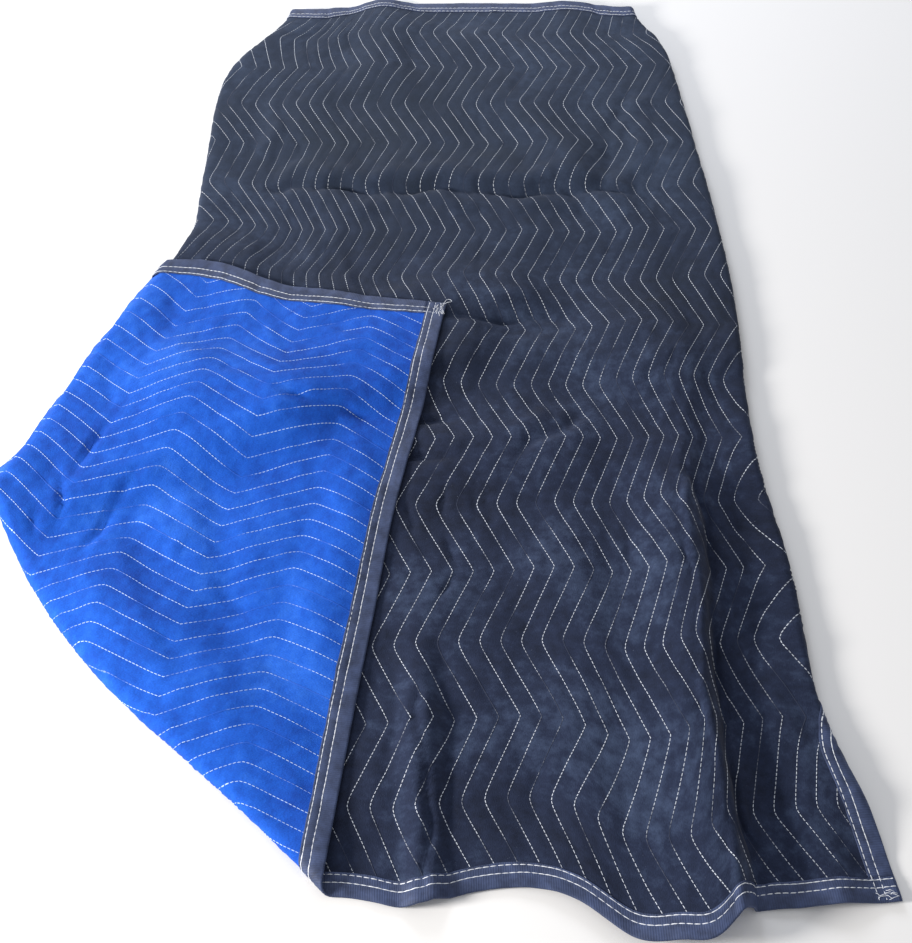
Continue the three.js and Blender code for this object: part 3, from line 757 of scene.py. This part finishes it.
def tape_piece(edge, node):
    first, last, spot, outward = EDGES[edge]
    start = len(edge)
    steps = np.linspace(first + 0.6, last - 0.6, int((last - first) / TAPE_STEP))

    def place(a, k):
        distance, out = np.array(section)[k.astype(int)].T
        inner = smooth((distance - 20) / 13)
        closed = np.where((a < first + 0.3) | (a > last - 0.3), TAPE_END, 1.0)
        out = out * closed * (1 + CRUMPLE * wobble(a * 1.3 + distance * 0.8, start))
        u, v = spot(a, distance + inner * WAVER * wobble(a, start))
        return lay(u, v, out)

    return finished(
        grid_piece(
            edge + "_tape",
            np.concatenate([[first], steps, [last]]),
            np.arange(len(section)),
            place,
            outward=outward,
            uv_of=lambda a, k: (
                a * 0.001,
                np.array(section)[k.astype(int), 0] * 0.001 + np.sign(k - len(SECTION)) * 0.05,
            ),
        ),
        tape_weave,
        "binding_tape",
        node,
    )


def tape_stitches(edge, side):
    """Two rows of long stitches, each rising from the tape and diving back into it."""
    spot, outward = EDGES[edge][2:]
    first, last = (2, WIDTH - 2) if edge.endswith("hem") else (2, LENGTH - 2)
    start = len(edge)
    highest, lowest = (STITCH_RISE_FACE, 0) if side > 0 else (STITCH_RISE_BACK, STITCH_LOW)

    def place(a, k):
        line, offset = k // 3, k % 3 - 1
        rise = np.abs(np.sin(math.pi * (a / STITCH + STITCH_LAG * line))) ** 0.8
        out = STITCH_BASE + highest * np.maximum(rise, lowest)
        drawn = STITCH_WAVER * wobble(a * 0.7, start + line)
        distance = np.array(STITCH_LINES)[line.astype(int)] + HEM_THREAD * offset + drawn
        u, v = spot(a, distance)
        return lay(u, v, side * (out - STITCH_SIDE * np.abs(offset)))

    count = int((last - first) / STITCH * STITCH_STEPS)
    return grid_piece(
        f"{edge}_stitches_{'face' if side > 0 else 'back'}",
        np.linspace(first, last, count),
        np.arange(3 * len(STITCH_LINES)),
        place,
        outward=outward == (side > 0),
        row_gap_after=lambda k: k % 3 == 2,
    )


tapes = [
    tape_piece("near_hem", "near_hem_binding"),
    tape_piece("far_hem", "far_hem_binding"),
    tape_piece("left", "left_binding"),
    tape_piece("right", "right_binding"),
]
stitches = finished(
    joined("binding_stitches", [tape_stitches(edge, side) for edge in EDGES for side in (1, -1)]),
    loose_thread,
    None,
)


# ---------------------------------------------------------------- thread ends at the corners


def thread_strand(name, spots, thick):
    """A loose strand through places given as u, v and how far off the middle of the cloth."""
    curve = bpy.data.curves.new(name, "CURVE")
    curve.dimensions, curve.bevel_depth, curve.bevel_resolution, curve.resolution_u = "3D", thick, 1, 4
    spline = curve.splines.new("NURBS")
    spline.points.add(len(spots) - 1)
    spline.use_endpoint_u, spline.order_u = True, 3
    for point, co in zip(spline.points, lay(*np.array(spots, float).T)):
        point.co = (*co, 1)
    drawn = bpy.data.objects.new(name, curve)
    bpy.context.scene.collection.objects.link(drawn)
    mesh = bpy.data.meshes.new_from_object(drawn)
    bpy.data.objects.remove(drawn)
    mesh.polygons.foreach_set("use_smooth", [True] * len(mesh.polygons))
    strand = bpy.data.objects.new(name, mesh)
    bpy.context.scene.collection.objects.link(strand)
    return strand


def corner_tack(name, at, toward, side, seed, count):
    """Stitches sewn back and forth over a corner, where the two edges' rows cross."""
    rng = random.Random(seed)
    strands = []
    for i in range(count):
        a, b = rng.uniform(1, 27), rng.uniform(2, 13)
        reach, slant = rng.uniform(5, 12), rng.uniform(-5, 5)
        spots = [
            (a, b, 2.2),
            (a + reach * 0.35, b + slant * 0.2, 3.4),
            (a + reach * 0.7, b + slant * 0.8, 3.5),
            (a + reach, b + slant, 2.2),
        ]
        placed = [(at[0] + toward[0] * p, at[1] + toward[1] * q, side * out) for p, q, out in spots]
        strands.append(thread_strand(f"{name}_{i}", placed, TACK_THREAD))
    return strands


TACK_THREAD, LOOP_THREAD = 0.00042, 0.00045  # half of their width, in metres
LOOP = [
    (6, 5, -2.6),
    (1, 2, -4.5),
    (-6, 1, -4),
    (-10, -3, -3),
    (-8, -9, -3),
    (-2, -9, -4.5),
    (0, -3, -5),
    (5, 3, -3),
]
tacks = corner_tack("corner_tack", (0, 0), (1, 1), -1, 5, 20)
tacks.append(thread_strand("corner_loop", LOOP, LOOP_THREAD))
tacks += corner_tack("hem_tack", (WIDTH, 0), (-1, 1), 1, 8, 12)
tacks = finished(joined("corner_thread_ends", tacks), loose_thread, None)

# ---------------------------------------------------------------- floor, light and camera


def plane(name, size, height, material):
    bm = bmesh.new()
    bmesh.ops.create_grid(bm, x_segments=1, y_segments=1, size=size)
    bmesh.ops.translate(bm, vec=(0, 0, height), verts=bm.verts)
    mesh = bpy.data.meshes.new(name)
    bm.to_mesh(mesh)
    bm.free()
    mesh.materials.append(material)
    piece = bpy.data.objects.new(name, mesh)
    bpy.context.scene.collection.objects.link(piece)
    return piece


def soft_light(name, place, target, size, power, code):
    light = bpy.data.lights.new(name, "AREA")
    light.shape, light.size, light.energy, light.color = "DISK", size, power, linear(code)[:3]
    lamp = bpy.data.objects.new(name, light)
    lamp.location = place
    lamp.rotation_euler = (Vector(target) - Vector(place)).to_track_quat("-Z", "Y").to_euler()
    bpy.context.scene.collection.objects.link(lamp)


floor = plane("studio_floor", 12, -0.0004, plain_material("painted_pale_floor", "f4f4f4", 0.9))
# The key is low at the left, so that folds and puckers throw shade. The fill is a wider one at the far end.
soft_light("key", (-2.7, -1.3, 1.15), (0, -0.1, 0), 0.8, 150, "fffaf4")
soft_light("fill", (-0.6, 2.9, 1.7), (0, -0.2, 0), 1.4, 60, "f2f6ff")
world = bpy.data.worlds.new("studio")
bpy.context.scene.world = world
world.use_nodes = True
world.node_tree.nodes["Background"].inputs["Color"].default_value = linear("fbfcff")
world.node_tree.nodes["Background"].inputs["Strength"].default_value = 0.48
bpy.context.scene.view_settings.view_transform = "Standard"  # the dyed blue keeps its strength

TARGET = Vector((0.0784, -0.272, 0.0))
ELEVATION, DISTANCE = math.radians(52), 2.2288
camera_data = bpy.data.cameras.new("camera")
camera_data.sensor_fit, camera_data.sensor_width, camera_data.lens = "AUTO", 36, 51.92
camera = bpy.data.objects.new("camera", camera_data)
camera.location = TARGET + DISTANCE * Vector((0, -math.cos(ELEVATION), math.sin(ELEVATION)))
camera.rotation_euler = (math.radians(90) - ELEVATION, 0, 0)
bpy.context.scene.collection.objects.link(camera)
bpy.context.scene.camera = camera
